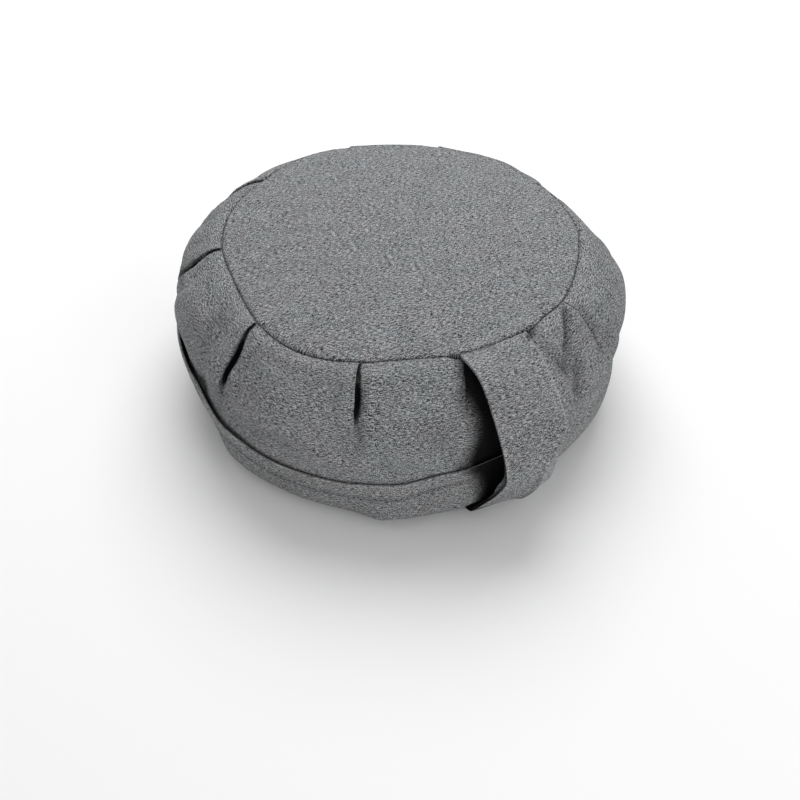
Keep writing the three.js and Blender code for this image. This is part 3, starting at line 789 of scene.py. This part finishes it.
lap_deep = lap_end - lap_top_at(lap_azimuth)
lap_free = 1 - lap_pressed(lap_azimuth)
lap_rows = [np.full(LAP_COLUMNS, drop) for drop in HEM_DROPS]
lap_rows += [HEM_DROPS[-1] + (lap_deep - HEM_DROPS[-1]) * share for share in BELOW_HEM_SHARES]
lap_loops, lap_cloth, lap_painted_shade, lap_wear_and_highlight = [], [], [], []
along_lap = np.radians(lap_azimuth) * FLAT_RADIUS
for drop in lap_rows:
    out = LAP_THICK * (0.5 + 0.5 * hem_roundness(drop))
    out = out - LAP_STITCH_DIP * bell(drop, LAP_STITCH_DROP, LAP_STITCH_DIP_REACH)
    spot = lap_points(lap_azimuth, drop, out)
    waved = ease(*WAVE_STARTS, drop) * fade(*WAVE_ENDS, drop / lap_deep)
    out = out + PUCKER * ripple(spot, PUCKER_SIZE, seed=4.0) * bell(drop, LAP_STITCH_DROP, PUCKER_REACH)
    out = out + WAVE * ripple(spot, WAVE_SIZE, seed=9.0) * waved
    spot = lap_points(lap_azimuth, drop, np.maximum(out, LAP_LEAST_THICK))
    stitch_shade = STITCH_SHADE * bell(drop, LAP_STITCH_DROP + STITCH_SHADE_BELOW, STITCH_SHADE_REACH)
    lap_loops.append(spot)
    lap_cloth.append(beside(along_lap, -drop - LAP_CUT, LAP_BOLT))
    # painted shade behind the strap and along the stitching, paler wear with painted highlight along the free
    # edge
    lap_painted_shade.append(np.maximum(under_strap(spot), stitch_shade * lap_free))
    lap_wear_and_highlight.append(bell(drop, 0.0, LAP_WEAR_AND_HIGHLIGHT_REACH) * lap_free)
for drop in lap_rows[::-1]:
    lap_loops.append(lap_points(lap_azimuth, drop, LAP_THICK * 0.5 * (1 - hem_roundness(drop))))
    lap_cloth.append(beside(along_lap, drop - LAP_BACK_CUT, LAP_BACK_BOLT))
    # painted shade on the back face of the lap
    lap_painted_shade.append(LAP_BACK_SHADE * ease(*LAP_BACK_SHADE_FROM, drop))
    lap_wear_and_highlight.append(np.zeros(LAP_COLUMNS))
lap_cloth = [np.vstack([row, row[:1] + np.array([whole_turn, 0.0, 0.0])]) for row in lap_cloth]
faces, weave = [], []
for k in range(len(lap_loops)):
    below = (k + 1) % len(lap_loops)
    faces += ring_faces(k * LAP_COLUMNS, below * LAP_COLUMNS, LAP_COLUMNS)
    weave += ring_weave(lap_cloth[k], lap_cloth[below])
lap_parts = [np.concatenate(part) for part in (lap_loops, lap_painted_shade, lap_wear_and_highlight)]
lap = mesh_piece("lap_band", lap_parts[0], faces, *lap_parts[1:], weave)
lap.data.materials.append(heather_cloth("lap_heather", LAP_PALE_FIBRE, LAP_WARM_FIBRE))
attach(lap, "root")
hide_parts("zip_lap_band")


# Lap stitching: one line of lockstitch in grey thread through the lap band's hem, each stitch a short
# thread that dips into the cloth at both ends.
STITCH_COUNT = 284
STITCH_LONG = 2.9
STITCH_HALF = 0.3
STITCH_RINGS = 6
STITCH_SIDES = 6
STITCH_RADIUS = 163.0
STITCH_PROUD, STITCH_DIVE, STITCH_BLUNT = 0.32, 0.4, 1.05
THREAD_DARK = (0.16, 0.163, 0.167, 1.0)
THREAD_PALE = (0.42, 0.427, 0.435, 1.0)
stitch_points, stitch_faces = [], []
for stitch in range(STITCH_COUNT):
    middle = -180.0 + (stitch + 0.5) * 360.0 / STITCH_COUNT
    start = len(stitch_points)
    for step in np.linspace(-1.0, 1.0, STITCH_RINGS):
        azimuth = middle + math.degrees(0.5 * STITCH_LONG * step / STITCH_RADIUS)
        lift = LAP_THICK - LAP_STITCH_DIP + STITCH_PROUD - STITCH_DIVE * step**2
        half = STITCH_HALF * math.sqrt(STITCH_BLUNT - step**2)
        for corner in range(STITCH_SIDES):
            turn = corner * 2 * math.pi / STITCH_SIDES
            drop, out = LAP_STITCH_DROP + half * math.cos(turn), lift + half * math.sin(turn)
            stitch_points.append(lap_points(np.array(azimuth), np.array(drop), np.array(out)))
    for ring in range(STITCH_RINGS - 1):
        first = start + ring * STITCH_SIDES
        stitch_faces += ring_faces(first, first + STITCH_SIDES, STITCH_SIDES)
    end = start + (STITCH_RINGS - 1) * STITCH_SIDES
    stitch_faces.append(tuple(range(start, start + STITCH_SIDES)))
    stitch_faces.append(tuple(range(end, end + STITCH_SIDES))[::-1])
stitch_points = np.array(stitch_points)
# the stitches take the painted shade behind the strap
stitches = mesh_piece("lap_stitches", stitch_points, stitch_faces, under_strap(stitch_points))
thread = Finish("grey_thread")
twist = thread.node("ShaderNodeTexNoise", {}, {"Scale": 900.0, "Detail": 1.0}, "Fac")
# thread colour goes nearly black where painted shade is stored
thread_painted_shade = thread.node("ShaderNodeAttribute", {"attribute_name": "painted_shade"}, {}, "Fac")
thread_colour = thread.mix(thread_painted_shade * DEEP_SHARE, thread.mix(twist, THREAD_DARK, THREAD_PALE), DEEP_SHADE)
thread.surface({"Base Color": thread_colour, "Roughness": 0.8, "Specular IOR Level": 0.2})
stitches.data.materials.append(thread.material)
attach(stitches, "root")


# Carrying strap: two layers of the same cloth, turned in at the edges, caught in the top seam, arching
# off the side and turned under into the bottom seam.
STRAP_HALF = 23.5
STRAP_THICK = 3.0
STRAP_STEPS = 150
# outer face: left edge out and height, right edge out and height, how far the middle bows out
STRAP_ROWS = np.array([
    (124.6, 126.4, 124.6, 126, 2.2), (138, 127.6, 138, 123.6, 2), (149, 126, 150.5, 118.6, 1),
    (158.5, 119.5, 161.5, 111, 1), (168.5, 108.5, 170.5, 102, 1.5), (180, 92.5, 177, 91, 2),
    (187.5, 78.5, 179, 79, 2.5), (190, 65, 179, 65, 2.5), (184, 50.5, 178, 48, 2.5),
    (172, 30.5, 173, 29.5, 2), (159.5, 10.5, 161.5, 13, 2), (151.5, 2.2, 152.5, 3.6, 2),
    (137, 0.5, 137, 0.5, 2),
])
# the right edge spreads at the top and the left edge at the foot: how far, shares of the way down
RIGHT_SPREAD, RIGHT_SPREAD_ENDS = 3.4, (0.4, 0.62)
LEFT_SPREAD, LEFT_SPREAD_STARTS = 4.0, (0.68, 0.9)
# creases in the strap: x and height where each bend of it lies, half width, how far it stands out
STRAP_RIDGE = [
    (22.5, 86.0), (19.9, 81.6), (16.0, 75.0), (9.7, 69.0),
    (6.4, 58.5), (6.3, 41.0), (4.6, 32.0), (4.0, 20.0),
]
STRAP_CREASES = [
    (STRAP_RIDGE, 7.0, 4.0),
    ([(21.0, 124.0), (17.0, 122.5), (13.6, 120.0)], 3.5, -1.0),
    ([(-12.0, 112.0), (-15.0, 90.0), (-13.0, 60.0)], 9.0, -0.8),
]
CREASE_FLAT = 0.6
strap_left, strap_right = Line(STRAP_ROWS[:, :2]), Line(STRAP_ROWS[:, 2:4])
strap_bow = Line(beside(np.arange(len(STRAP_ROWS)), STRAP_ROWS[:, 4]))


def strap_point(along, across):
    """Points of the strap's outer face: share of the way down it, share of the way across it."""
    along, across = np.broadcast_arrays(along, across)
    left_out, left_height = strap_left.at(along * strap_left.length)
    right_out, right_height = strap_right.at(along * strap_right.length)
    bow = strap_bow.at_share(along)[1]
    out = left_out + (right_out - left_out) * across + bow * 4 * across * (1 - across)
    height = left_height + (right_height - left_height) * across
    spread = RIGHT_SPREAD * across * fade(*RIGHT_SPREAD_ENDS, along)
    spread = spread - LEFT_SPREAD * (1 - across) * ease(*LEFT_SPREAD_STARTS, along)
    return np.stack([(2 * across - 1) * STRAP_HALF + spread, -out, height], -1)


def strap_inward(along, across):
    """Direction from the strap's outer face towards the cushion."""
    step = 0.004
    down = strap_point(np.minimum(along + step, 1), across) - strap_point(np.maximum(along - step, 0), across)
    side = strap_point(along, np.minimum(across + step, 1)) - strap_point(along, np.maximum(across - step, 0))
    inward = np.cross(side, down)
    return inward / np.linalg.norm(inward, axis=-1, keepdims=True)


def strap_creased(places):
    """How far the strap's creases push its face out at each point."""
    total = np.zeros(len(places))
    for bends, half, depth in STRAP_CREASES:
        off = np.full(len(places), np.inf)
        for (x0, z0), (x1, z1) in zip(bends[:-1], bends[1:]):
            off = np.minimum(off, off_line(places[:, 0] - x0, places[:, 2] - z0, x1 - x0, z1 - z0)[1])
        total += depth * np.exp(-np.maximum(off - CREASE_FLAT, 0.0) / half)
    return total


def strap_ridge_side(places):
    """How far each point lies to the right of the strap's long ridge."""
    bends = np.array(STRAP_RIDGE)[::-1]
    return places[:, 0] - np.interp(places[:, 2], bends[:, 1], bends[:, 0])


# section round the strap from its left edge: share across, share of the thickness, share of the way into
# the slit between its layers at the left edge
MIDDLE_COLUMNS = 32
BACK_EDGE_COLUMNS = 3
EDGE_ACROSS = [0.0, 0.0025, 0.008, 0.018]
LEFT_EDGE_DEPTH, RIGHT_EDGE_DEPTH = [0.34, 0.16, 0.05, 0.0], [0.0, 0.06, 0.2, 0.5]
RIGHT_BACK_DEPTH, LEFT_BACK_DEPTH = [0.8, 0.94, 1.0], [1.0, 0.95, 0.84, 0.66]
SLIT_ACROSS, SLIT_DEPTH = [0.02, 0.07, 0.1, 0.07, 0.02], [0.58, 0.54, 0.5, 0.46, 0.42]
SLIT_PART = [0.9, 0.6, 0.3, 0.1, 0.0]
middle_across = np.linspace(0.045, 0.955, MIDDLE_COLUMNS)
outer_across = np.concatenate([EDGE_ACROSS, middle_across, 1 - np.array(EDGE_ACROSS[::-1])])
outer_depth = np.concatenate([LEFT_EDGE_DEPTH, np.zeros(MIDDLE_COLUMNS), RIGHT_EDGE_DEPTH])
right_back_across = 1 - np.array(EDGE_ACROSS[BACK_EDGE_COLUMNS - 1::-1])
across = np.concatenate(
    [outer_across, right_back_across, middle_across[::-1], EDGE_ACROSS[::-1], SLIT_ACROSS]
)
thickness = np.concatenate(
    [outer_depth, RIGHT_BACK_DEPTH, np.ones(MIDDLE_COLUMNS), LEFT_BACK_DEPTH, SLIT_DEPTH]
)
outer_count = len(outer_across)
back_count = BACK_EDGE_COLUMNS + MIDDLE_COLUMNS + len(EDGE_ACROSS)
slit_part = np.concatenate([np.zeros(outer_count), np.ones(back_count), SLIT_PART])
loop_size = len(across)
order = np.arange(loop_size)
left_turn_in = outer_count + BACK_EDGE_COLUMNS + MIDDLE_COLUMNS
on_face, turned_in = order < outer_count, order >= left_turn_in
on_back = (order >= outer_count + BACK_EDGE_COLUMNS) & (order < left_turn_in)
left_edge, left_lip = order < 2, order < 3
# shares of the way down over which the layers part, creases and ripples start and end
PART_DEPTH, PART_STARTS, PART_ENDS, PART_SIDE = 3.0, (0.44, 0.56), (0.62, 0.71), (0.0, 0.4)
STRAP_CREASE_STARTS, STRAP_RIPPLE_STARTS, STRAP_FLAT_AGAIN = (0.0, 0.06), (0.0, 0.1), (0.8, 0.95)
STRAP_RIPPLE, STRAP_RIPPLE_SIZE = 0.45, 24.0
# shade: behind the strap, in its turned-in edge, on its lower lip, at its seam corner, foot and ridge
BACK_SHADE_STARTS = (0.02, 0.1)
TURN_SHADE, TURN_SHADE_STARTS = 0.8, (0.3, 0.45)
TURN_LIGHTER, TURN_LIGHTER_AT, TURN_DARKER, TURN_DARKER_FROM = 0.45, (0.62, 0.07), 0.2, (0.68, 0.76)
LIP_SHADE, LIP_SHADE_STARTS, LIP_MORE, LIP_MORE_STARTS = 0.9, (0.6, 0.7), 0.1, (0.7, 0.8)
CORNER_SHADE, CORNER_AT, CORNER_SIDE = 0.85, (0.028, 0.018), (0.92, 0.97)
FOOT_SHADE, FOOT_SHADE_STARTS, FOOT_SHADE_SKEW, FOOT_SHADE_SIDE = 0.96, (0.8, 0.87), 0.1, (0.02, 0.3)
RIDGE_STARTS, RIDGE_SHADE_ENDS, RIDGE_HIGHLIGHT_ENDS = (0.5, 0.58), (0.76, 0.86), (0.82, 0.92)
RIDGE_SHADE, RIDGE_SHADE_BESIDE = 0.3, (-2.6, 2.2)
# wear with painted highlight along the left and right edges, painted highlight on the ridge and to its right
LEFT_WEAR_AND_HIGHLIGHT_REACH, RIGHT_WEAR_AND_HIGHLIGHT, RIGHT_WEAR_AND_HIGHLIGHT_REACH = 0.028, 2.6, 0.024
RIDGE_HIGHLIGHT, RIDGE_HIGHLIGHT_BESIDE, PAST_RIDGE_HIGHLIGHT, PAST_RIDGE = 1.5, (0.6, 1.0), 0.7, (-0.8, 0.8)
STRAP_BOLT, STRAP_BACK_BOLT = 210.0, 240.0
along_rows = np.linspace(0.0, 1.0, STRAP_STEPS)
loops, strap_painted_shade, strap_wear_and_highlight = [], [], []
for along in along_rows:
    at = np.full(loop_size, along)
    face, inward = strap_point(at, across), strap_inward(at, across)
    parted = ease(*PART_STARTS, along) * fade(*PART_ENDS, along)
    parted = parted * fade(*PART_SIDE, across) * slit_part
    depth = thickness * STRAP_THICK + PART_DEPTH * parted
    rippled = STRAP_RIPPLE * ripple(face, STRAP_RIPPLE_SIZE, seed=13.0) * ease(*STRAP_RIPPLE_STARTS, along)
    rise = strap_creased(face) * ease(*STRAP_CREASE_STARTS, along) + rippled
    rise = rise * fade(*STRAP_FLAT_AGAIN, along)
    loops.append(face + inward * (depth - rise)[:, None])
    beyond = strap_ridge_side(face)
    ridge_starts = ease(*RIDGE_STARTS, along)
    turn_shade = TURN_SHADE - TURN_LIGHTER * bell(along, *TURN_LIGHTER_AT)
    turn_shade = turn_shade + TURN_DARKER * ease(*TURN_DARKER_FROM, along)
    lip_shade = LIP_SHADE * left_edge * ease(*LIP_SHADE_STARTS, along)
    lip_shade = lip_shade + LIP_MORE * left_lip * ease(*LIP_MORE_STARTS, along)
    corner_shade = CORNER_SHADE * bell(along, *CORNER_AT) * ease(*CORNER_SIDE, across) * on_face
    foot_shade = FOOT_SHADE * ease(*FOOT_SHADE_STARTS, along + FOOT_SHADE_SKEW * across)
    foot_shade = foot_shade * fade(*FOOT_SHADE_SIDE, across) * on_face
    ridge_shade = RIDGE_SHADE * bell(beyond, *RIDGE_SHADE_BESIDE) * ridge_starts
    ridge_shade = ridge_shade * fade(*RIDGE_SHADE_ENDS, along) * on_face
    # painted shade on the strap's back, turned-in edge, lower lip, seam corner, foot and beside its ridge
    shades = [
        on_back * ease(*BACK_SHADE_STARTS, along), turned_in * turn_shade * ease(*TURN_SHADE_STARTS, along),
        lip_shade + corner_shade, foot_shade, ridge_shade,
    ]
    strap_painted_shade.append(np.max(shades, axis=0))
    # paler wear with painted highlight along both edges, painted highlight on the ridge and the strip to its
    # right
    edge_wear_and_highlight = bell(across, 0.0, LEFT_WEAR_AND_HIGHLIGHT_REACH) + RIGHT_WEAR_AND_HIGHLIGHT * bell(1 - across, 0.0, RIGHT_WEAR_AND_HIGHLIGHT_REACH)
    ridge_highlight = RIDGE_HIGHLIGHT * bell(beyond, *RIDGE_HIGHLIGHT_BESIDE) + PAST_RIDGE_HIGHLIGHT * ease(*PAST_RIDGE, beyond)
    ridge_highlight = ridge_highlight * ridge_starts * fade(*RIDGE_HIGHLIGHT_ENDS, along)
    strap_wear_and_highlight.append(np.maximum(edge_wear_and_highlight, ridge_highlight) * on_face)
strap_long = strap_left.length
strap_cloth = beside(across * 2 * STRAP_HALF, 0.0, np.where(on_face, STRAP_BOLT, STRAP_BACK_BOLT))
closed_cloth = np.vstack([strap_cloth, strap_cloth[:1]])
faces, weave = [], []
for k in range(STRAP_STEPS - 1):
    upper, lower = (closed_cloth - np.array([0.0, along_rows[j] * strap_long, 0.0]) for j in (k, k + 1))
    faces += ring_faces(k * loop_size, (k + 1) * loop_size, loop_size)
    weave += ring_weave(upper, lower)
for k, way in ((0, 1), (STRAP_STEPS - 1, -1)):
    faces.append(tuple(k * loop_size + c for c in range(loop_size))[::way])
    weave += list(strap_cloth)[::way]
strap_parts = [np.concatenate(part) for part in (loops, strap_painted_shade, strap_wear_and_highlight)]
strap = mesh_piece("carry_strap", strap_parts[0], faces, *strap_parts[1:], weave)
strap.data.materials.append(heather_cloth("strap_heather", PALE_FIBRE, WARM_FIBRE))
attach(strap, "root")
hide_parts("carry_handle")


# Floor and light: a plain pale floor, one broad soft light above and behind to the right, a
# weaker one in front, pale surroundings. Lengths here are in metres.
FLOOR_HALF = 6
FLOOR_LEVEL = -0.0006
floor_corners = [(x * FLOOR_HALF, y * FLOOR_HALF, 0) for x, y in ((-1, -1), (1, -1), (1, 1), (-1, 1))]
floor_mesh = bpy.data.meshes.new("floor")
floor_mesh.from_pydata(floor_corners, [], [(0, 1, 2, 3)])
floor = bpy.data.objects.new("floor", floor_mesh)
floor.location.z = FLOOR_LEVEL
scene.collection.objects.link(floor)
pale = Finish("pale_floor")
pale.surface({"Base Color": (0.9, 0.9, 0.9, 1.0), "Roughness": 0.9, "Specular IOR Level": 0.1})
floor.data.materials.append(pale.material)

surroundings = bpy.data.worlds.new("surroundings")
surroundings.use_nodes = True
background = surroundings.node_tree.nodes["Background"]
background.inputs["Color"].default_value = (1.0, 1.0, 1.0, 1.0)
background.inputs["Strength"].default_value = 0.52
scene.world = surroundings


def soft_light(name, place, aim, size, watts):
    """A round soft light that faces the point it is aimed at."""
    lamp = bpy.data.lights.new(name, "AREA")
    lamp.shape, lamp.size, lamp.energy = "DISK", size, watts
    light = bpy.data.objects.new(name, lamp)
    light.location = place
    light.rotation_euler = (Vector(aim) - Vector(place)).to_track_quat("-Z", "Y").to_euler()
    scene.collection.objects.link(light)


soft_light("broad_light", place=(0.40, 0.70, 1.38), aim=(0, 0, 0.08), size=1.4, watts=20.0)
soft_light("front_light", place=(0.16, -1.55, 0.50), aim=(0, 0, 0.05), size=1.2, watts=7.6)
scene.view_settings.view_transform = "Standard"
